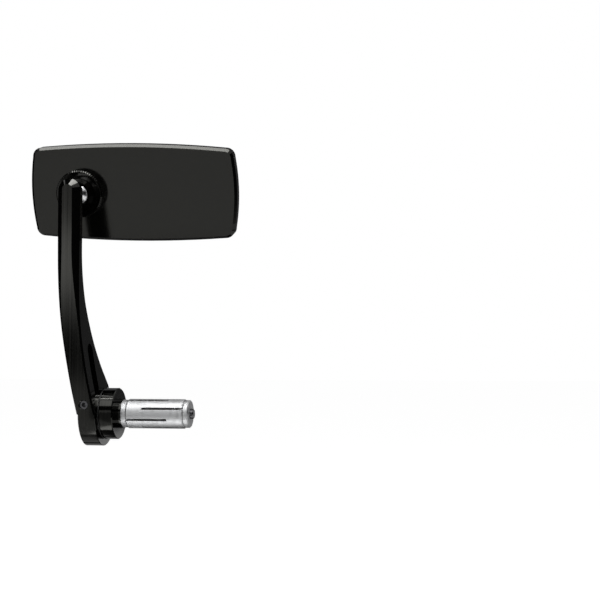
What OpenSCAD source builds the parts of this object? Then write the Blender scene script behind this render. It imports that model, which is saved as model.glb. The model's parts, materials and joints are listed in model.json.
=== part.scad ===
// Bar end mirror for a motorcycle: a rectangular head on a ball joint, a bowed machined arm
// and a clamp that expands inside the handlebar. Millimetres.
// X runs along the bar, into it. Y points to the rider, who sees the glass. Z is up.
// The origin is the centre of the collar's face that meets the end of the bar.

/* [Mirror head] */
// Width of the head
head_w = 126.3; // [110:1:150]
// Height of the head
head_h = 58.4; // [52:0.2:70]
// Depth of the housing, from its back plate to its rim
head_d = 8.9; // [8.4:0.1:12]
// How far the two short sides bow out
side_bow = 1.8; // [0.6:0.1:4]
// How far the two long sides bow out
long_bow = 2.4; // [0.6:0.1:4]
// Radius of the head's corners
corner_r = 5.4; // [3.5:0.1:10]
// Chamfer round the back plate
rim_chamfer = 1.6; // [0.6:0.1:2.2]
// Width of the rim round the glass
rim_w = 1.5; // [1:0.1:3]
// Distance from the head's outer end to the ball's centre
ball_inset = 31.8; // [28:0.1:40]

/* [Mirror glass] */
// Radius that the convex glass is curved to
glass_curve_r = 1000; // [800:50:1600]
// Thickness of the glass
glass_t = 2; // [1.6:0.1:2.2]
// Thickness of the foam pad behind the glass
pad_t = 0.8; // [0.5:0.1:1]
// Gap between the glass and the rim
glass_gap = 0.3; // [0.2:0.1:0.6]

/* [Head angles] */
// Tilt of the head, its top away from the rider
head_tilt = 15.3; // [0:0.1:20]
// Turn of the head about the upright axis
head_pan = 2; // [-10:0.1:10]
// Roll of the head about the stud
head_roll = 1.5; // [-10:0.1:10]

/* [Ball joint] */
// Radius of the ball
ball_r = 7; // [6.5:0.1:7.4]
// Radius of the neck behind the ball
neck_r = 3.3; // [2.6:0.1:3.5]
// Wall of the plastic cup
cup_t = 0.95; // [0.7:0.05:1.1]
// Distance from the ball's centre to the head's back plate
ball_proud = 6; // [5.8:0.1:6.6]
// Outer radius of the ring nut
nut_r = 14.2; // [13:0.1:15]
// Outer radius of the threaded boss that the ring nut screws on
boss_r = 11.4; // [10.4:0.1:11.6]
// How far the ring nut's flat face stands from the ball's centre
nut_front = 1.3; // [1.2:0.1:1.8]
// Radius of the opening in the ring nut's lip
nut_opening_r = 6.3; // [6:0.1:6.5]
// Grip notches round the ring nut
nut_notches = 64; // [24:4:72]
// Depth of the grip notches
notch_depth = 0.4; // [0.2:0.1:0.7]

/* [Arm] */
// Height of the stud above the bar's axis
stud_z = 130.6; // [110:0.2:160]
// How far the arm's top stands out past the bar's end
stud_x = 26.6; // [22:0.2:34]
// Width of the arm at its round top
top_w = 13.4; // [12:0.1:16]
// Thickness of the arm at its top
top_t = 9.7; // [9:0.1:11]
// Width of the arm at its foot
foot_w = 11.1; // [10:0.1:12]
// Wall of the eye at the arm's foot, round the spigot
eye_wall = 8.9; // [7.5:0.1:11]
// Chamfer along the arm at its top
top_chamfer = 3.7; // [1:0.1:4]
// Chamfer along the arm at its foot
foot_chamfer = 1; // [0.4:0.1:1.6]
// Chamfer along the arm's back edges
back_chamfer = 1.8; // [0.4:0.1:2]
// Height at which the arm stops bowing outwards
bow_end_z = 97; // [80:1:110]
// Height at which the arm's back edge starts to flare
flare_end_z = 100; // [80:1:108]
// Radius of the flare along the arm's back edge
flare_r = 140; // [110:1:180]
// Width of the pocket in the arm's inner face
pocket_w = 8.8; // [4:0.1:11]
// Depth of the pocket
pocket_d = 5; // [2:0.1:6]
// Height of the pocket's round top
pocket_top_z = 41; // [30:0.5:52]
// Middle of the pocket, in front of the bar's axis
pocket_y = 5.6; // [2:0.1:8]

/* [Set screw] */
// Radius of the set screw
screw_r = 2.5; // [2:0.25:3]
// Height of the set screw above the bar's axis
screw_z = 5.6; // [0:0.1:6]
// Depth of the screw's end below the arm's front face
screw_recess = 1.2; // [0.3:0.1:2]
// Depth of the groove round the spigot
groove_d = 1; // [0.6:0.1:1.4]

/* [Bar end clamp] */
// Radius of the collar
collar_r = 15; // [14:0.1:16]
// Length of the collar
collar_l = 8.2; // [6:0.1:16]
// Thickness of the friction washer between collar and arm
eye_ring_t = 0.5; // [0.4:0.1:1]
// Radius of the spigot that the arm turns on
spigot_r = 10; // [9.6:0.1:10.6]
// Length of the register that enters the bar
register_l = 3; // [2:0.5:5]
// Outer radius of the expanding sleeve
sleeve_r = 8.6; // [8.2:0.1:9.2]
// Length of the expanding sleeve
sleeve_l = 34; // [28:1:44]
// Bore radius of the expanding sleeve
sleeve_bore_r = 5.6; // [5.2:0.1:6]
// Width of the slots in the sleeve
slot_w = 1.4; // [0.8:0.1:2]
// Slots from each end of the sleeve
sleeve_slots = 4; // [2:1:6]
// Radius of the long screw
bolt_r = 3; // [2.5:0.25:3]
// Radius of the rubber rings' section
band_r = 0.8; // [0.5:0.1:1]

/* [Hidden] */
$fn = 96;
black = "#232324";
fit = 0.05;
gap = 0.3;
face_gap = 0.02;
thread_gap = 0.02;
over = 1;

// Head: places along its depth, counted from the ball's centre
ball_offset = head_w / 2 - ball_inset;
plate_n = ball_proud;
rim_n = plate_n + head_d;
glass_edge_drop = 0.4;
glass_w = head_w - 2 * (rim_w + glass_gap);
glass_h = head_h - 2 * (rim_w + glass_gap);
glass_corner_r = corner_r - rim_w - glass_gap;
glass_sag = glass_curve_r - sqrt(pow(glass_curve_r, 2) - pow(glass_w / 2, 2) - pow(glass_h / 2, 2));
glass_apex = rim_n - glass_edge_drop + glass_sag;
corner_steps = 8;
side_steps = 12;

// Ball joint
cup_r = ball_r + fit + cup_t;
cup_rim = 2.6;
cup_hole_r = 2.5;
socket_r = cup_r + fit;
spring_t = 0.5;
spring_in_r = 4.4;
spring_seat = sqrt(pow(cup_r, 2) - pow(spring_in_r, 2)) + fit;
spring_rise = 1.5;
socket_floor = spring_seat + spring_rise + spring_t;
boss_front = -0.1;
nut_land_r = ball_r + fit;
nut_bore_r = boss_r + fit;
nut_inside = boss_front - 0.1;
nut_chamfer = 0.8;
nut_lip_t = 0.35;
nut_lip_w = 1.3;
nut_lip_spread = 1.6;
notch_r = 0.45;

// Arm: front and back faces, and the line that its middle follows
eye_r = spigot_r + eye_wall;
front_y = -eye_r;
foot_x = -(collar_l + eye_ring_t + foot_w / 2 + 0.1);
bow_out = stud_x + foot_x;
bow_r = (pow(bow_end_z, 2) + pow(bow_out, 2)) / (2 * bow_out);
back_top_y = front_y + top_t;
eye_back_y = eye_r;
corner_blend = 0.9;
eye_rim_chamfer = 2.2;
eye_back_chamfer = 0.3;
arm_steps = 32;
chamfer_start_z = 45;
width_ease = 20;
boss_x = -(collar_l + eye_ring_t);
spigot_end_x = foot_x - foot_w / 2 + 1.8;
cap_seat_x = spigot_end_x - 0.6;
cap_r = spigot_r + 1.4;
cap_t = 2;
cap_ring_r = 0.6;
cap_ring_in = 0.9;
pocket_lean = 12;

// Ball stud
ball_y = 2.3;
shoulder_r = 4.6;
shoulder_t = 1.6;
flat_across = 8;
shank_r = 3;
shank_l = 6;

// Set screw
screw_x = foot_x - (bow_r - sqrt(pow(bow_r, 2) - pow(bow_end_z, 2)))
          + (bow_r - sqrt(pow(bow_r, 2) - pow(bow_end_z - screw_z, 2)));
screw_hex_r = screw_r * 0.58;
screw_hex_d = 2.5;
screw_dog_r = screw_r * 0.44;
screw_body_y = -(spigot_r + 0.5);
screw_tip_y = -sqrt(pow(spigot_r - groove_d + 0.2, 2) - pow(screw_z - screw_dog_r, 2));
screw_sink = 0.4;
groove_half = screw_dog_r + gap;

// Clamp
bolt_head_r = bolt_r * 5 / 3;
bolt_head_h = 2 * bolt_r;
washer_r = bolt_head_r + 1;
washer_t = 1.2;
counterbore_r = washer_r + 0.3;
washer_x = spigot_end_x + bolt_head_h + washer_t + 0.3;
register_r = sleeve_r + 0.1;
sleeve_x = register_l + 3;
cone_slope = tan(14);
cone_l = 9;
cone_rim_r = sleeve_r - 0.5;
cone_flange_t = 3;
cone_inside = 2;
nut_x = sleeve_x + sleeve_l;
bolt_end_x = nut_x + cone_flange_t + 2;
band_inset = 0.25;
edge = 0.5;

// A value that eases from 0 to 1 between two heights
function ease(z, low, high) =
    let (t = min(1, max(0, (z - low) / (high - low)))) t * t * (3 - 2 * t);

// The smaller of two values, with the corner between them rounded
function soft_min(a, b, k) = -k * ln(exp(-a / k) + exp(-b / k));

// The arm's middle line, width, chamfer and back edge at a height
function arm_x(z) =
    -stud_x + (z > bow_end_z ? 0 : bow_r - sqrt(pow(bow_r, 2) - pow(bow_end_z - z, 2)));
function arm_w(z) = foot_w + (top_w - foot_w) * ease(z, width_ease, stud_z - width_ease);
function arm_c(z) = foot_chamfer + (top_chamfer - foot_chamfer) * ease(z, chamfer_start_z, flare_end_z);
function flare(z) = z > flare_end_z ? 0 : flare_r - sqrt(pow(flare_r, 2) - pow(flare_end_z - z, 2));
function arm_back(z) = soft_min(back_top_y + flare(z), eye_back_y, corner_blend);

// One outline of the head: four bowed sides and round corners, closed, anticlockwise.
// The corner's centre keeps the sides' ends where the bows end.
function bowed_corner(w, h, r, sx, sz, from) = [
    for (i = [0 : corner_steps])
        let (a = from + 90 * i / corner_steps)
        [sx * (w / 2 - side_bow - r) + r * cos(a), sz * (h / 2 - long_bow - r) + r * sin(a)]];
function bowed_run(half, reach, bow, turn) = [
    for (i = [1 : side_steps - 1])
        let (t = 1 - 2 * i / side_steps)
        let (along = t * half, out = reach - bow * t * t)
        [along * cos(turn) - out * sin(turn), along * sin(turn) + out * cos(turn)]];
function head_outline(w, h, r) = concat(
    bowed_corner(w, h, r, 1, 1, 0),
    bowed_run(w / 2 - side_bow - r, h / 2, long_bow, 0),
    bowed_corner(w, h, r, -1, 1, 90),
    bowed_run(h / 2 - long_bow - r, w / 2, side_bow, 90),
    bowed_corner(w, h, r, -1, -1, 180),
    bowed_run(w / 2 - side_bow - r, h / 2, long_bow, 180),
    bowed_corner(w, h, r, 1, -1, 270),
    bowed_run(h / 2 - long_bow - r, w / 2, side_bow, 270));

// A closed skin over rings of points, with as many points in each ring
module skin(rings) {
    n = len(rings[0]);
    last = len(rings) - 1;
    polyhedron(
        points = [for (ring = rings) each ring],
        faces = concat(
            [[for (i = [n - 1 : -1 : 0]) i]],
            [for (k = [0 : last - 1], i = [0 : n - 1])
                each [[k * n + i, (k + 1) * n + (i + 1) % n, (k + 1) * n + i],
                      [k * n + i, k * n + (i + 1) % n, (k + 1) * n + (i + 1) % n]]],
            [[for (i = [0 : n - 1]) last * n + i]]));
}

// Turned shapes: a profile of [radius, place] turned about X, or about the head's depth
module turned_x(profile) {
    rotate([0, 90, 0]) rotate_extrude() polygon(profile);
}
module turned_n(profile) {
    rotate([-90, 0, 0]) rotate_extrude() polygon(profile);
}
module rod_x(r, x0, x1) {
    translate([x0, 0, 0]) rotate([0, 90, 0]) cylinder(r = r, h = x1 - x0);
}
module rod_n(r, n0, n1) {
    translate([0, n0, 0]) rotate([-90, 0, 0]) cylinder(r = r, h = n1 - n0);
}

// A rubber ring, or the groove for it, let into a round surface
module ring_in_groove(x, surface_r, section_r) {
    translate([x, 0, 0]) rotate([0, 90, 0])
        rotate_extrude() translate([surface_r - band_inset - band_r, 0]) circle(r = section_r, $fn = 24);
}

// Places the head: its parts are drawn about the ball's centre, depth along Y
module at_ball() {
    translate([-stud_x, ball_y, stud_z]) children();
}
module at_head() {
    at_ball() rotate([head_tilt, 0, head_pan]) rotate([0, head_roll, 0]) children();
}

// A prism with the head's outline between two depths
module head_prism(w, h, r, n0, n1) {
    translate([ball_offset, n1, 0]) rotate([90, 0, 0])
        linear_extrude(height = n1 - n0) polygon(head_outline(w, h, r));
}

// The space on the rider's side of a sphere that the glass follows, some depth below its face
module glass_ball(below) {
    translate([ball_offset, glass_apex - glass_curve_r, 0]) sphere(r = glass_curve_r - below, $fn = 360);
}

// The curved floor that the pad lies on, turned in narrow bands
module recess_floor() {
    curve_r = glass_curve_r - glass_t - pad_t;
    floor_top = glass_apex - glass_t - pad_t;
    reach = head_w / 2 + rim_w;
    bands = 16;
    translate([ball_offset, 0, 0]) turned_n(concat(
        [[0, plate_n]],
        [for (i = [0 : bands])
            let (r = reach * i / bands)
            [r, floor_top - curve_r + sqrt(pow(curve_r, 2) - r * r)]],
        [[reach, plate_n]]), $fn = 180);
}

module mirror_housing() {
    function ring(inset, n) =
        [for (p = head_outline(head_w - 2 * inset, head_h - 2 * inset, corner_r - inset))
            [p[0] + ball_offset, n, p[1]]];
    color(black) at_head() difference() {
        union() {
            skin([ring(rim_chamfer, plate_n), ring(0, plate_n + rim_chamfer),
                  ring(0, rim_n - edge), ring(edge, rim_n)]);
            rod_n(boss_r, boss_front, plate_n + over);
        }
        // Recess for the glass, its floor curved like the glass
        difference() {
            head_prism(head_w - 2 * rim_w, head_h - 2 * rim_w, corner_r - rim_w, plate_n + over, rim_n + over);
            recess_floor();
        }
        rod_n(socket_r, boss_front - over, socket_floor);
    }
}

module mirror_glass() {
    color("#9fa6aa") at_head() difference() {
        intersection() {
            head_prism(glass_w, glass_h, glass_corner_r, plate_n, glass_apex + over);
            glass_ball(0);
        }
        glass_ball(glass_t);
    }
}

module glass_pad() {
    pad_in = 2;
    color("#2b2b2b") at_head() difference() {
        intersection() {
            head_prism(glass_w - 2 * pad_in, glass_h - 2 * pad_in, corner_r - rim_w,
                       plate_n, glass_apex + over);
            glass_ball(glass_t + face_gap);
        }
        glass_ball(glass_t + pad_t - face_gap);
    }
}

// Ring nut: grip notches outside, thread bore, a flat face and a lip whose land holds the ball
module ring_nut() {
    land_n = -sqrt(pow(nut_land_r, 2) - pow(nut_opening_r, 2));
    land_end_r = nut_opening_r + 0.4;
    land_end_n = -sqrt(pow(nut_land_r, 2) - pow(land_end_r, 2));
    lip_n = land_n - nut_lip_t;
    lip_r = nut_opening_r + nut_lip_w;
    color(black) at_head() difference() {
        turned_n([
            [nut_opening_r, land_n], [nut_opening_r + nut_lip_t, lip_n], [lip_r, lip_n],
            [lip_r + nut_lip_spread, -nut_front],
            [nut_r - nut_chamfer, -nut_front], [nut_r, -nut_front + nut_chamfer],
            [nut_r, plate_n - gap], [nut_bore_r, plate_n - gap],
            [nut_bore_r, nut_inside], [socket_r, nut_inside], [land_end_r, land_end_n]]);
        for (i = [0 : nut_notches - 1])
            rotate([0, 360 * i / nut_notches, 0])
                translate([nut_r + notch_r - notch_depth, 0, 0])
                    rod_n(notch_r, -nut_front - over, plate_n + over);
    }
}

module seat_spring() {
    spring_out_r = socket_r - 0.3;
    color("silver") at_head() turned_n([
        [spring_in_r, spring_seat], [spring_in_r, spring_seat + spring_t],
        [spring_out_r, socket_floor], [spring_out_r, socket_floor - spring_t]]);
}

// Plastic cup behind the ball, turned in one piece
module ball_seat() {
    in_r = ball_r + fit;
    rim_angle = asin(cup_rim / in_r);
    rim_out_angle = asin(cup_rim / cup_r);
    hole_angle = acos(cup_hole_r / in_r);
    hole_out_angle = acos(cup_hole_r / cup_r);
    steps = 24;
    color("#e8e6dc") at_ball() turned_n(concat(
        [for (i = [0 : steps])
            let (a = rim_angle + (hole_angle - rim_angle) * i / steps)
            [in_r * cos(a), in_r * sin(a)]],
        [for (i = [steps : -1 : 0])
            let (a = rim_out_angle + (hole_out_angle - rim_out_angle) * i / steps)
            [cup_r * cos(a), cup_r * sin(a)]]));
}

module ball_stud() {
    arm_back_n = back_top_y - ball_y;
    shoulder_n = arm_back_n + fit;
    color("#c9ccce") at_ball() {
        sphere(r = ball_r);
        rod_n(neck_r, shoulder_n, -ball_r * 0.6);
        intersection() {
            rod_n(shoulder_r, shoulder_n, shoulder_n + shoulder_t);
            translate([-shoulder_r, shoulder_n, -flat_across / 2]) cube([2 * shoulder_r, shoulder_t, flat_across]);
        }
        rod_n(shank_r, arm_back_n - shank_l, shoulder_n);
    }
}

// One level section of the arm: an eight-sided outline that the chamfers give
function arm_ring(z) =
    let (x = arm_x(z), h = arm_w(z) / 2, f = front_y, b = arm_back(z))
    let (c = arm_c(z), d = min(c, back_chamfer))
    [[x - h + c, f, z], [x - h, f + c, z], [x - h, b - d, z], [x - h + d, b, z],
     [x + h - d, b, z], [x + h, b - d, z], [x + h, f + c, z], [x + h - c, f, z]];

// The arm's round top, turned about the stud's axis
module arm_top() {
    r = arm_w(stud_z) / 2;
    c = arm_c(stud_z);
    d = min(c, back_chamfer);
    translate([-stud_x, 0, stud_z]) turned_n([
        [0, front_y], [r - c, front_y], [r, front_y + c], [r, back_top_y - d], [r - d, back_top_y],
        [0, back_top_y]]);
}

// The round lower half of the eye
module arm_eye() {
    x0 = foot_x - foot_w / 2;
    x1 = foot_x + foot_w / 2;
    intersection() {
        turned_x([[0, x0], [eye_r - eye_rim_chamfer, x0], [eye_r, x0 + foot_chamfer],
                  [eye_r, x1 - eye_back_chamfer], [eye_r - eye_back_chamfer, x1], [0, x1]]);
        translate([x0 - over, -eye_r - over, -eye_r - over])
            cube([foot_w + 2 * over, 2 * (eye_r + over), eye_r + over]);
    }
}

// Pocket in the inner face: its floor leans with the arm
module arm_pocket() {
    top_z = pocket_top_z - pocket_w / 2;
    face_x = arm_x(pocket_top_z) + arm_w(pocket_top_z) / 2;
    translate([face_x, -pocket_y, pocket_top_z]) rotate([0, -pocket_lean, 0])
        translate([-pocket_d, 0, top_z - pocket_top_z]) {
            rod_x(pocket_w / 2, 0, 4 * pocket_d);
            translate([0, -pocket_w / 2, -pocket_top_z]) cube([4 * pocket_d, pocket_w, pocket_top_z]);
        }
}

module arm() {
    color(black) difference() {
        union() {
            difference() {
                union() {
                    skin([for (i = [0 : arm_steps]) arm_ring(stud_z * i / arm_steps)]);
                    arm_top();
                }
                arm_pocket();
            }
            arm_eye();
            rod_x(collar_r, foot_x, boss_x);
        }
        rod_x(spigot_r + fit, foot_x - foot_w, boss_x + over);
        rod_x(cap_r + fit, cap_seat_x - 4 * foot_w, cap_seat_x);
        translate([screw_x, 0, screw_z]) {
            rod_n(screw_r + thread_gap, front_y - over, 0);
            turned_n([[0, front_y - over], [screw_r + screw_sink + over, front_y - over],
                      [screw_r, front_y + screw_sink], [0, front_y + screw_sink]]);
        }
        translate([-stud_x, 0, stud_z]) rod_n(shank_r + fit, back_top_y - shank_l - gap, back_top_y + over);
    }
}

module arm_set_screw() {
    top = front_y + screw_recess;
    color("#8e9092") translate([screw_x, 0, screw_z]) difference() {
        turned_n([[0, top], [screw_r, top], [screw_r, screw_body_y - screw_r + screw_dog_r],
                  [screw_dog_r, screw_body_y], [screw_dog_r, screw_tip_y], [0, screw_tip_y]]);
        translate([0, top + screw_hex_d, 0]) rotate([90, 0, 0])
            cylinder(r = screw_hex_r, h = screw_hex_d + over, $fn = 6);
    }
}

// Plug that closes the outer side of the eye, with a groove for its rubber ring
module end_cap() {
    groove_x = cap_seat_x - cap_ring_in;
    color(black) turned_x([
        [0, cap_seat_x - face_gap], [cap_r - cap_ring_r, cap_seat_x - face_gap],
        [cap_r - cap_ring_r, groove_x + cap_ring_r], [cap_r - 2 * cap_ring_r, groove_x + cap_ring_r],
        [cap_r - 2 * cap_ring_r, groove_x - cap_ring_r], [cap_r - edge * 0.2, groove_x - cap_ring_r],
        [cap_r - edge, cap_seat_x - cap_t], [0, cap_seat_x - cap_t]]);
}

module cap_ring() {
    color("#1b1b1b") translate([cap_seat_x - cap_ring_in, 0, 0]) rotate([0, 90, 0])
        rotate_extrude() translate([cap_r - cap_ring_r, 0]) circle(r = cap_ring_r, $fn = 24);
}

// Collar with its spigot, set screw groove, register and counterbore
module collar() {
    color(black) difference() {
        turned_x([
            [0, spigot_end_x], [spigot_r - edge, spigot_end_x], [spigot_r, spigot_end_x + edge],
            [spigot_r, screw_x - groove_half], [spigot_r - groove_d, screw_x - groove_half],
            [spigot_r - groove_d, screw_x + groove_half], [spigot_r, screw_x + groove_half],
            [spigot_r, -collar_l], [collar_r - edge, -collar_l], [collar_r, -collar_l + edge],
            [collar_r, -edge], [collar_r - edge, 0], [register_r, 0], [register_r, register_l],
            [0, register_l]]);
        rod_x(bolt_r + 0.2, spigot_end_x - over, register_l + over);
        rod_x(counterbore_r, spigot_end_x - over, washer_x);
        ring_in_groove(register_l / 2, register_r, band_r + face_gap);
    }
}

module eye_ring() {
    color("#3a3a3a") difference() {
        rod_x(collar_r - edge, boss_x + face_gap, -collar_l - face_gap);
        rod_x(spigot_r + fit, boss_x - over, -collar_l + over);
    }
}

module expander_bolt() {
    head_x = washer_x - washer_t - face_gap;
    socket_r6 = bolt_head_r * 0.57;
    color("#3c3d3f") difference() {
        union() {
            turned_x([[0, head_x - bolt_head_h], [bolt_head_r - edge, head_x - bolt_head_h],
                      [bolt_head_r, head_x - bolt_head_h + edge], [bolt_head_r, head_x], [0, head_x]]);
            turned_x([[0, head_x - over], [bolt_r, head_x - over], [bolt_r, bolt_end_x - edge],
                      [bolt_r - edge, bolt_end_x], [0, bolt_end_x]]);
        }
        translate([head_x - bolt_head_h - over, 0, 0]) rotate([0, 90, 0])
            cylinder(r = socket_r6, h = bolt_head_h / 2 + over, $fn = 6);
    }
}

module bolt_washer() {
    color("silver") difference() {
        rod_x(washer_r, washer_x - washer_t, washer_x - face_gap);
        rod_x(bolt_r + 0.2, washer_x - washer_t - over, washer_x + over);
    }
}

// Rubber ring in the groove round the register
module register_ring() {
    color("#1b1b1b") ring_in_groove(register_l / 2, register_r, band_r);
}

// Radius of a cone at some depth in the sleeve's mouth
function cone_at(depth) = sleeve_bore_r + (cone_l - depth) * cone_slope - 0.4;

module outer_cone() {
    color("#9a9c9e") difference() {
        turned_x([[0, register_l + face_gap], [cone_rim_r, register_l + face_gap],
                  [cone_rim_r, sleeve_x - gap], [cone_at(0), sleeve_x - gap],
                  [cone_at(cone_l - cone_inside), sleeve_x + cone_l - cone_inside],
                  [0, sleeve_x + cone_l - cone_inside]]);
        rod_x(bolt_r + 0.2, register_l - over, sleeve_x + cone_l);
    }
}

module cone_nut() {
    color("#9a9c9e") difference() {
        turned_x([[0, nut_x - cone_l + cone_inside], [cone_at(cone_l - cone_inside), nut_x - cone_l + cone_inside],
                  [cone_at(0), nut_x + gap], [cone_rim_r, nut_x + gap],
                  [cone_rim_r, nut_x + cone_flange_t - edge], [cone_rim_r - edge, nut_x + cone_flange_t],
                  [0, nut_x + cone_flange_t]]);
        rod_x(bolt_r + thread_gap, nut_x - cone_l - over, nut_x + cone_flange_t + over);
    }
}

// Sleeve: tapered mouths, slots from both ends in turn, and two grooves for the rubber rings
module expander_sleeve() {
    mouth_r = cone_at(0) + 0.08;
    bore_meets = cone_l - (mouth_r - sleeve_bore_r) / cone_slope;
    mouth_l = cone_l - bore_meets;
    slot_l = sleeve_l * 0.72;
    color("#b4b6b8") difference() {
        turned_x([
            [sleeve_bore_r, sleeve_x + mouth_l], [mouth_r, sleeve_x],
            [sleeve_r - edge, sleeve_x], [sleeve_r, sleeve_x + edge],
            [sleeve_r, nut_x - edge], [sleeve_r - edge, nut_x],
            [mouth_r, nut_x], [sleeve_bore_r, nut_x - mouth_l]]);
        for (x = sleeve_band_places()) ring_in_groove(x, sleeve_r, band_r + face_gap);
        for (i = [0 : sleeve_slots - 1]) {
            rotate([360 * (i + 0.25) / sleeve_slots, 0, 0]) translate([sleeve_x - over, -slot_w / 2, 0])
                cube([slot_l + over, slot_w, sleeve_r + over]);
            rotate([360 * (i + 0.75) / sleeve_slots, 0, 0]) translate([nut_x - slot_l, -slot_w / 2, 0])
                cube([slot_l + over, slot_w, sleeve_r + over]);
        }
    }
}

function sleeve_band_places() = [sleeve_x + sleeve_l * 0.14, nut_x - sleeve_l * 0.14];

module sleeve_rings() {
    color("#1b1b1b") for (x = sleeve_band_places()) ring_in_groove(x, sleeve_r, band_r);
}

mirror_housing();
mirror_glass();
glass_pad();
ring_nut();
seat_spring();
ball_seat();
ball_stud();
arm();
arm_set_screw();
end_cap();
cap_ring();
collar();
eye_ring();
expander_bolt();
bolt_washer();
outer_cone();
expander_sleeve();
sleeve_rings();
cone_nut();
register_ring();
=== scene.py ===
"""Looks of the bar end mirror: its finishes, and the studio and camera of the photograph."""

import json
import math

import bpy
from mathutils import Matrix, Vector


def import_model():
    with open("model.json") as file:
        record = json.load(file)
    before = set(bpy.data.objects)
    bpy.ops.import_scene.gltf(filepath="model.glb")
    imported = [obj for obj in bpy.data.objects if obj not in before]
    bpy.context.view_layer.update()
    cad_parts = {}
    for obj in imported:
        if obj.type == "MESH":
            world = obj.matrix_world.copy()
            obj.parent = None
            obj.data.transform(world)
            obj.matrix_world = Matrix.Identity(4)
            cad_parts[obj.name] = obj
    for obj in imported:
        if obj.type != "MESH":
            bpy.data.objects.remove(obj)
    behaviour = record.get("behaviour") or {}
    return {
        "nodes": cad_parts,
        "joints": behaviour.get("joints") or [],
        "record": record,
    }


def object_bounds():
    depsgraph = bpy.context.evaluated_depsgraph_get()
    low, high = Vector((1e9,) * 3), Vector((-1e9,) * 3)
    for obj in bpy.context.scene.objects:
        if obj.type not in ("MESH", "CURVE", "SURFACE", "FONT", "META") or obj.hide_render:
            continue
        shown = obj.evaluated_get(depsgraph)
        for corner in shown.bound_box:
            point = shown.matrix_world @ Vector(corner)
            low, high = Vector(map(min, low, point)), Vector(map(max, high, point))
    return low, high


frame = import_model()
CAD_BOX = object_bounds()

# Camera: where the photograph was taken from, in metres and degrees
CAMERA_PLACE = (0.2147, -0.6770, 0.0349)
CAMERA_AZIMUTH = 9.0
CAMERA_PITCH = 2.6
CAMERA_CLIP = 0.01
SENSOR_MM = 36.0
LENS_MM = 71.4

# Head and ring nut as the part has them, in degrees and metres
HEAD_TILT = 15.3
HEAD_PAN = 2.0
HEAD_ROLL = 1.5
HEAD_CENTRE = next(joint["pos_m"] for joint in frame["joints"] if joint["name"] == "head_tilt")
HEAD_TURN = (Matrix.Rotation(math.radians(HEAD_PAN), 3, "Z")
             @ Matrix.Rotation(math.radians(HEAD_TILT), 3, "X")
             @ Matrix.Rotation(math.radians(HEAD_ROLL), 3, "Y")).to_euler("XYZ")
NUT_RADIUS = 0.0142
NUT_NOTCHES = 64
NUT_FACE_SLOPE = 0.25
NOTCH_REACH = 0.0009
# Painted shade: the sheen left in the nut's notches, so they show dark
NOTCH_PAINTED_SHADE_SHEEN = 0.01
LIP_RADIUS = 0.0093
# Painted shade: the sheen left on the nut's hollow lip, so it shows dark
LIP_PAINTED_SHADE_SHEEN = 0.015

# Finishes: colours and sheen of the anodising, and the size and stretch of the marks
ANODISED_DARK = (0.0004, 0.0004, 0.0004)
ANODISED_LIGHT = (0.0013, 0.0013, 0.0012)
ANODISED_SHEEN = 0.26
ANODISED_TINT = (1.0, 1.0, 0.93, 1.0)
CLOUD_SCALE = 45.0
PORE_SCALE = 6500.0
HAZE_SCALE = 60.0
DUST_SCALE = 1500.0
NOISE_ROUGHNESS = 0.55
EVEN = (1.0, 1.0, 1.0)
ALONG_ARM = (1.0, 1.0, 0.006)
ROUND_BAR = (1.0, 0.04, 0.04)
ROUND_SLEEVE = (1.0, 0.06, 0.06)
ROUND_STUD = (1.0, 0.05, 1.0)
ROUND_BOLT = (0.05, 1.0, 1.0)

# Studio: places in metres, and how bright its surfaces are
FLOOR_DROP = 0.16
FLOOR_LEVEL = CAD_BOX[0][2] - FLOOR_DROP
FLOOR_REACH = 9.0
FLOOR_COLOR = (0.9, 0.9, 0.9)
FLOOR_LIFT = 0.45
WORLD_LIGHT = 0.6
BLACK = (0.0, 0.0, 0.0)
WHITE = (1.0, 1.0, 1.0, 1.0)
MAT_LEVEL = FLOOR_LEVEL + 0.001
CEILING = 1.08
STRIP_HEIGHT = 1.05
RIGHT_SIDE = 0.8
LEFT_SIDE = -1.0
FAR_SIDE = 7.0
FRONT_SIDE = -3.0
BEHIND_FRONT = -3.02
NEAR_SIDE = -0.15
MAT_START = -0.3
MAT_BORDER = -0.065
FOOT_BORDER = -0.071
CARD_BORDER = -0.058
DOWN = (0.0, 0.0, -1.0)
ACROSS = (1.0, 0.0, 0.0)


# Node helpers
def new_material(name):
    material = bpy.data.materials.new(name)
    material.use_nodes = True
    return material, material.node_tree.nodes, material.node_tree.links


def shader(nodes, color, roughness, metallic=0.0, **sockets):
    """Sets the material's shader; each further name is one of its sockets."""
    node = nodes["Principled BSDF"]
    node.inputs["Base Color"].default_value = (*color, 1.0)
    node.inputs["Metallic"].default_value = metallic
    node.inputs["Roughness"].default_value = roughness
    for name, value in sockets.items():
        node.inputs[name.replace("_", " ")].default_value = value
    return node


def place(nodes, links, stretch=EVEN):
    """Object coordinates in metres; marks run long where stretch is small."""
    coordinates = nodes.new("ShaderNodeTexCoord")
    mapping = nodes.new("ShaderNodeMapping")
    mapping.inputs["Scale"].default_value = stretch
    links.new(coordinates.outputs["Object"], mapping.inputs["Vector"])
    return mapping.outputs["Vector"]


def noise(nodes, links, vector, scale, detail):
    node = nodes.new("ShaderNodeTexNoise")
    node.inputs["Scale"].default_value = scale
    node.inputs["Detail"].default_value = detail
    node.inputs["Roughness"].default_value = NOISE_ROUGHNESS
    links.new(vector, node.inputs["Vector"])
    return node.outputs["Fac"]


def remap(nodes, links, value, low, high, from_low=0.3, from_high=0.7):
    """Turns from_low and from_high, which most of a noise lies between, into low and high."""
    node = nodes.new("ShaderNodeMapRange")
    node.inputs["From Min"].default_value = from_low
    node.inputs["From Max"].default_value = from_high
    node.inputs["To Min"].default_value = low
    node.inputs["To Max"].default_value = high
    links.new(value, node.inputs["Value"])
    return node.outputs["Result"]


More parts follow.
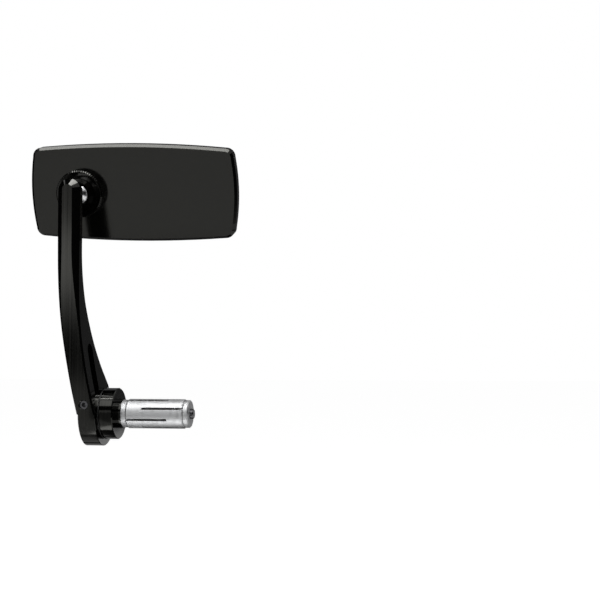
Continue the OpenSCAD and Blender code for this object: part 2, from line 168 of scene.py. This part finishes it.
def calculate(nodes, links, operation, first, second=None):
    """One step of arithmetic on a node's output, with a fixed number or another output."""
    node = nodes.new("ShaderNodeMath")
    node.operation = operation
    links.new(first, node.inputs[0])
    if isinstance(second, float):
        node.inputs[1].default_value = second
    elif second is not None:
        links.new(second, node.inputs[1])
    return node.outputs["Value"]


def blend_color(nodes, links, factor, first, second):
    node = nodes.new("ShaderNodeMix")
    node.data_type = "RGBA"
    node.inputs["A"].default_value = (*first, 1.0)
    node.inputs["B"].default_value = (*second, 1.0)
    links.new(factor, node.inputs["Factor"])
    return node.outputs["Result"]


def bump(nodes, links, height, strength, distance, normal=None):
    node = nodes.new("ShaderNodeBump")
    node.inputs["Strength"].default_value = strength
    node.inputs["Distance"].default_value = distance
    links.new(height, node.inputs["Height"])
    if normal is not None:
        links.new(normal, node.inputs["Normal"])
    return node.outputs["Normal"]


# Finishes
def anodised(name, stretch, scale, roughness, streaks=0.0, relief_and_shade=None):
    """Dyed black anodising: a dim mirror, with the fine lines that its machining left."""
    material, nodes, links = new_material(name)
    base = shader(nodes, ANODISED_DARK, roughness, Specular_IOR_Level=ANODISED_SHEEN,
                  Specular_Tint=ANODISED_TINT)
    lines = noise(nodes, links, place(nodes, links, stretch), scale, 4.0)
    cloud = noise(nodes, links, place(nodes, links), CLOUD_SCALE, 3.0)
    pores = noise(nodes, links, place(nodes, links), PORE_SCALE, 2.0)
    worn = remap(nodes, links, lines, roughness * 0.8, roughness * 1.25)
    links.new(worn, base.inputs["Roughness"])
    links.new(blend_color(nodes, links, cloud, ANODISED_DARK, ANODISED_LIGHT), base.inputs["Base Color"])
    if streaks:
        dim, bright = ANODISED_SHEEN * (1.0 - streaks), ANODISED_SHEEN * (1.0 + streaks)
        links.new(remap(nodes, links, lines, dim, bright), base.inputs["Specular IOR Level"])
    # A relief may also paint shade, by setting the sheen
    shape = relief_and_shade(nodes, links, base) if relief_and_shade else None
    fine = bump(nodes, links, pores, 0.03, 0.00001, shape)
    links.new(bump(nodes, links, lines, 0.04, 0.00002, fine), base.inputs["Normal"])
    return material


def nut_relief_and_painted_shade(nodes, links, base):
    """Ring nut: a face turned slightly hollow, and painted shade in the grip notches round its rim and
    on its lip.
    """
    coordinates = nodes.new("ShaderNodeTexCoord")
    mapping = nodes.new("ShaderNodeMapping")
    mapping.vector_type = "TEXTURE"
    mapping.inputs["Location"].default_value = HEAD_CENTRE
    mapping.inputs["Rotation"].default_value = HEAD_TURN
    links.new(coordinates.outputs["Object"], mapping.inputs["Vector"])
    split = nodes.new("ShaderNodeSeparateXYZ")
    links.new(mapping.outputs["Vector"], split.inputs["Vector"])
    across, up = split.outputs["X"], split.outputs["Z"]
    squares = [calculate(nodes, links, "POWER", side, 2.0) for side in (across, up)]
    radius = calculate(nodes, links, "SQRT", calculate(nodes, links, "ADD", *squares))
    face_radius = NUT_RADIUS - NOTCH_REACH
    # Painted shade: sheen drops in the rim's notches, not between them, and on the hollow lip
    angle = calculate(nodes, links, "ARCTAN2", up, across)
    turns = calculate(nodes, links, "MULTIPLY", angle, float(NUT_NOTCHES))
    wave = calculate(nodes, links, "COSINE", turns)
    rim_sheen_and_notch_shade = remap(nodes, links, wave, ANODISED_SHEEN, NOTCH_PAINTED_SHADE_SHEEN, -0.5, 0.3)
    on_rim = calculate(nodes, links, "GREATER_THAN", radius, face_radius)
    on_face = calculate(nodes, links, "LESS_THAN", radius, face_radius)
    # Painted shade on the hollow lip: its sheen rises to full just past the lip
    face_sheen_and_lip_shade = remap(nodes, links, radius, LIP_PAINTED_SHADE_SHEEN, ANODISED_SHEEN,
                     LIP_RADIUS, LIP_RADIUS + NOTCH_REACH)
    sheen = calculate(nodes, links, "ADD", calculate(nodes, links, "MULTIPLY", on_rim, rim_sheen_and_notch_shade),
                      calculate(nodes, links, "MULTIPLY", on_face, face_sheen_and_lip_shade))
    links.new(sheen, base.inputs["Specular IOR Level"])
    # The face rises towards the rim
    hollow = calculate(nodes, links, "MINIMUM", radius, face_radius)
    height = calculate(nodes, links, "MULTIPLY", hollow, NUT_FACE_SLOPE)
    return bump(nodes, links, height, 1.0, 1.0)


def mirror_glass():
    """Silvered glass with a slight haze and a trace of dust."""
    material, nodes, links = new_material("mirror_glass")
    base = shader(nodes, (0.82, 0.84, 0.85), roughness=0.015, metallic=1.0)
    haze = noise(nodes, links, place(nodes, links), HAZE_SCALE, 2.0)
    dust = noise(nodes, links, place(nodes, links), DUST_SCALE, 2.0)
    tone = blend_color(nodes, links, dust, (0.79, 0.81, 0.82), (0.84, 0.86, 0.87))
    links.new(remap(nodes, links, haze, 0.008, 0.04), base.inputs["Roughness"])
    links.new(tone, base.inputs["Base Color"])
    links.new(bump(nodes, links, haze, 0.02, 0.00002), base.inputs["Normal"])
    return material


def metal(name, color, roughness, scale, stretch, depth):
    """Turned, plated or polished metal, with its grain along or round the piece."""
    material, nodes, links = new_material(name)
    base = shader(nodes, color, roughness, metallic=1.0)
    lines = noise(nodes, links, place(nodes, links, stretch), scale, 4.0)
    links.new(remap(nodes, links, lines, roughness * 0.75, roughness * 1.3), base.inputs["Roughness"])
    darker = tuple(c * 0.86 for c in color)
    links.new(blend_color(nodes, links, lines, darker, color), base.inputs["Base Color"])
    links.new(bump(nodes, links, lines, depth, 0.00002), base.inputs["Normal"])
    return material


def plastic(name, color, roughness, scale=2600.0):
    """Moulded plastic, rubber or foam, with a fine even grain."""
    material, nodes, links = new_material(name)
    base = shader(nodes, color, roughness)
    grain = noise(nodes, links, place(nodes, links), scale, 3.0)
    links.new(remap(nodes, links, grain, roughness - 0.08, roughness + 0.08), base.inputs["Roughness"])
    lighter = tuple(min(1.0, c * 1.25 + 0.002) for c in color)
    links.new(blend_color(nodes, links, grain, color, lighter), base.inputs["Base Color"])
    links.new(bump(nodes, links, grain, 0.12, 0.00005), base.inputs["Normal"])
    return material


MILLED = anodised("anodised_milled", ALONG_ARM, 1300.0, 0.1, streaks=0.3)
TURNED = anodised("anodised_turned", ROUND_BAR, 2600.0, 0.1, streaks=0.2)
FINISHES = {
    "black_anodised": anodised("anodised_satin", EVEN, 2400.0, 0.12, streaks=0.05),
    "mirror_glass": mirror_glass(),
    "foam_pad": plastic("foam_pad", (0.02, 0.02, 0.02), 0.9, scale=900.0),
    "spring_steel": metal("spring_steel", (0.42, 0.42, 0.43), 0.3, 900.0, EVEN, 0.1),
    "white_plastic": plastic("white_plastic", (0.72, 0.71, 0.66), 0.45),
    "polished_steel": metal("polished_steel", (0.62, 0.62, 0.63), 0.2, 1200.0, ROUND_STUD, 0.03),
    "zinc_steel": metal("zinc_steel", (0.55, 0.55, 0.56), 0.28, 2200.0, EVEN, 0.12),
    "black_rubber": plastic("black_rubber", (0.011, 0.011, 0.011), 0.62),
    "grey_plastic": plastic("grey_plastic", (0.004, 0.004, 0.004), 0.5),
    "black_steel": metal("black_steel", (0.11, 0.11, 0.115), 0.25, 2000.0, ROUND_BOLT, 0.1),
    "bare_aluminium": metal("bare_aluminium", (0.5, 0.505, 0.51), 0.5, 2400.0, ROUND_SLEEVE, 0.2),
}
KNURLED = anodised("anodised_knurled", EVEN, 2600.0, 0.1, relief_and_shade=nut_relief_and_painted_shade)
MACHINED = {"arm": MILLED, "collar": TURNED, "end_cap": TURNED, "ring_nut": KNURLED}


def finish_frame():
    """Gives each node its slot's finish, or the black finish with the marks of its own machining."""
    for part in frame["record"]["subparts"]:
        piece = frame["nodes"][part["node"]]
        piece.data.materials.clear()
        piece.data.materials.append(MACHINED.get(part["node"], FINISHES[part["material_slot"]]))


# Studio
def camera():
    data = bpy.data.cameras.new("camera")
    data.lens = LENS_MM
    data.sensor_width = SENSOR_MM
    data.clip_start = CAMERA_CLIP
    piece = bpy.data.objects.new("camera", data)
    piece.location = CAMERA_PLACE
    piece.rotation_euler = (math.radians(90.0 + CAMERA_PITCH), 0.0, math.radians(CAMERA_AZIMUTH))
    bpy.context.scene.collection.objects.link(piece)
    bpy.context.scene.camera = piece


def looked_at(nodes, links):
    """One where the camera, gloss or glass looks, and zero elsewhere."""
    path = nodes.new("ShaderNodeLightPath")
    seen = path.outputs["Is Camera Ray"]
    for name in ("Is Glossy Ray", "Is Transmission Ray"):
        seen = calculate(nodes, links, "MAXIMUM", seen, path.outputs[name])
    return seen


def world():
    """White where the camera, gloss and glass look; a plain soft light elsewhere."""
    scene_world = bpy.data.worlds.new("studio")
    bpy.context.scene.world = scene_world
    scene_world.use_nodes = True
    nodes, links = scene_world.node_tree.nodes, scene_world.node_tree.links
    nodes.clear()
    light = nodes.new("ShaderNodeBackground")
    light.inputs["Color"].default_value = WHITE
    strength = remap(nodes, links, looked_at(nodes, links), WORLD_LIGHT, 1.0, 0.0, 1.0)
    links.new(strength, light.inputs["Strength"])
    output = nodes.new("ShaderNodeOutputWorld")
    links.new(light.outputs["Background"], output.inputs["Surface"])


def panel(name, corners, color, glow=0.0):
    """A flat panel of the studio, such as the floor or a flag."""
    mesh = bpy.data.meshes.new(name)
    mesh.from_pydata(corners, [], [(0, 1, 2, 3)])
    piece = bpy.data.objects.new(name, mesh)
    material, nodes, _ = new_material(name)
    shader(nodes, color, roughness=0.9, Specular_IOR_Level=0.0, Emission_Color=WHITE,
           Emission_Strength=glow)
    mesh.materials.append(material)
    bpy.context.scene.collection.objects.link(piece)
    return piece


def floor():
    """White floor. What the camera, gloss and glass see of it is lifted to the background's white."""
    left = near = -FLOOR_REACH
    right = far = FLOOR_REACH
    piece = panel("floor", [(left, near, FLOOR_LEVEL), (right, near, FLOOR_LEVEL),
                            (right, far, FLOOR_LEVEL), (left, far, FLOOR_LEVEL)], FLOOR_COLOR)
    tree = piece.data.materials[0].node_tree
    lift = calculate(tree.nodes, tree.links, "MULTIPLY", looked_at(tree.nodes, tree.links), FLOOR_LIFT)
    tree.links.new(lift, tree.nodes["Principled BSDF"].inputs["Emission Strength"])


def flag(name, corners, glow):
    """A card that only gloss sees: black, or as bright as glow says."""
    piece = panel(name, corners, BLACK, glow)
    piece.visible_camera = False
    piece.visible_diffuse = False
    piece.visible_shadow = False
    return piece


def grade(piece, near_glow, far_glow):
    """Lets a level flag's glow change along Y."""
    tree = piece.data.materials[0].node_tree
    coordinates = tree.nodes.new("ShaderNodeTexCoord")
    split = tree.nodes.new("ShaderNodeSeparateXYZ")
    tree.links.new(coordinates.outputs["Generated"], split.inputs["Vector"])
    glow = remap(tree.nodes, tree.links, split.outputs["Y"], near_glow, far_glow, 0.0, 1.0)
    tree.links.new(glow, tree.nodes["Principled BSDF"].inputs["Emission Strength"])


def flag_across(name, x0, x1, y, z0, z1, glow=0.0):
    return flag(name, [(x0, y, z0), (x1, y, z0), (x1, y, z1), (x0, y, z1)], glow)


def flag_along(name, x, y0, y1, z0, z1, glow=0.0):
    return flag(name, [(x, y0, z0), (x, y1, z0), (x, y1, z1), (x, y0, z1)], glow)


def flag_level(name, x0, x1, y0, y1, z, glow=0.0):
    return flag(name, [(x0, y0, z), (x1, y0, z), (x1, y1, z), (x0, y1, z)], glow)


def side_flags():
    """Right and left: the head's side walls and bevels, the ball and the arm's inner side."""
    flag_along("right_flag", RIGHT_SIDE, 0.9, 3.0, MAT_LEVEL, 1.1, glow=0.07)
    flag_along("right_card", RIGHT_SIDE, -0.03, 0.9, MAT_LEVEL, 0.4, glow=0.22)
    flag_along("right_edge", RIGHT_SIDE, -1.0, -0.03, MAT_LEVEL, 0.6, glow=0.01)
    flag_along("far_right_flag", RIGHT_SIDE, 3.0, FAR_SIDE, MAT_LEVEL, 2.6, glow=0.06)
    flag_across("far_back_flag", -0.6, RIGHT_SIDE, FAR_SIDE, MAT_LEVEL, 2.6, glow=0.06)
    flag_along("left_flag", LEFT_SIDE, 0.2, 1.3, MAT_LEVEL, 1.1)
    flag_along("left_card", LEFT_SIDE, -0.12, 0.2, MAT_LEVEL, 1.1, glow=0.25)
    flag_along("left_edge", LEFT_SIDE, -0.8, -0.12, MAT_LEVEL, 1.1)


def top_flags():
    """Overhead: the head's top wall and the arm's round top, and from behind the mirror glass."""
    flag_level("top_flag", -0.8, 0.2, 0.02, 1.0, CEILING)
    grade(flag_level("sky_card", -1.6, 1.6, 1.0, 1.8, CEILING), 0.5, 0.06)
    flag_level("sky_flag", -1.6, 1.6, 1.8, 3.2, CEILING, glow=0.06)
    grade(flag_level("far_sky_card", -1.6, 0.3, 3.2, 5.0, CEILING), 0.06, 0.9)


def front_flags():
    """In front: the head's back plate, and the long front faces of the arm and the collar."""
    flag_across("low_flag", -2.5, 1.5, FRONT_SIDE, -0.05, 0.14, glow=0.05)
    flag_across("middle_flag", -3.0, 1.5, BEHIND_FRONT, 0.45, 0.9, glow=0.75)
    flag_across("front_flag", -3.0, 1.5, BEHIND_FRONT, 0.9, 2.1)
    flag_across("near_flag_arm", MAT_START, CARD_BORDER, NEAR_SIDE, MAT_LEVEL, 0.003, glow=0.9)
    flag_across("near_flag_collar", CARD_BORDER, 0.1, NEAR_SIDE, MAT_LEVEL, 0.02, glow=0.25)


def floor_mats():
    """On the floor: the undersides, the arm's foot and the collar."""
    flag_level("left_mat", -0.9, -0.43, -0.95, -0.3, MAT_LEVEL)
    flag_level("foot_mat", MAT_START, FOOT_BORDER, NEAR_SIDE, -0.045, MAT_LEVEL, glow=0.8)
    flag_level("foot_line", MAT_START, MAT_BORDER, -0.045, -0.01, MAT_LEVEL, glow=0.3)
    flag_level("heel_mat", MAT_START, MAT_BORDER, -0.01, 0.1, MAT_LEVEL, glow=0.6)
    flag_level("back_line", MAT_START, 0.2, 0.1, 0.145, MAT_LEVEL)
    grade(flag_level("back_mat", -1.8, 1.8, 0.145, 1.8, MAT_LEVEL), 0.35, 1.0)
    flag_level("under_mat", MAT_BORDER, 0.2, -0.05, 0.1, MAT_LEVEL, glow=0.05)
    flag_level("collar_card", FOOT_BORDER, 0.1, NEAR_SIDE, -0.055, MAT_LEVEL, glow=4.6)


def softbox(name, centre, away, long_side, size, radiance):
    """A rectangular light that shines along away, with its long side along long_side."""
    data = bpy.data.lights.new(name, "AREA")
    data.shape = "RECTANGLE"
    data.size, data.size_y = size
    data.energy = radiance * math.pi * size[0] * size[1]
    z = -Vector(away).normalized()
    x = (Vector(long_side) - Vector(long_side).dot(z) * z).normalized()
    piece = bpy.data.objects.new(name, data)
    piece.matrix_world = Matrix.Translation(centre) @ Matrix((x, z.cross(x), z)).transposed().to_4x4()
    bpy.context.scene.collection.objects.link(piece)
    return piece


def strip(name, centre, long_side, size, radiance):
    """A narrow light overhead that shows as a highlight, but doesn't light dull surfaces."""
    piece = softbox(name, (*centre, STRIP_HEIGHT), DOWN, (*long_side, 0.0), size, radiance)
    piece.visible_diffuse = False


def lights():
    """The main softbox lights the studio; each strip draws the bright line that it is named after."""
    softbox("main_softbox", (-0.37, -0.67, 0.8), (0.37, 0.67, -0.8), ACROSS, (1.2, 0.5), 2.2)
    strip("rim_strip", (0.0, -0.362), (1.0, -0.07), (1.3, 0.07), 14.0)
    strip("nut_strip", (0.2, -0.49), (1.0, -0.12), (0.7, 0.06), 16.0)
    strip("top_strip", (0.2, -0.1), (0.8, -0.3), (0.7, 0.08), 15.0)
    softbox("front_strip", (-2.02, FRONT_SIDE, 0.33), (0.9, 3.0, -0.3), ACROSS, (2.0, 0.22), 1.9)


finish_frame()
camera()
world()
floor()
# Flags are dark and grey cards out of view: they give black metal its dark edges on a white background
side_flags()
top_flags()
front_flags()
floor_mats()
lights()
bpy.context.scene.view_settings.view_transform = "Standard"
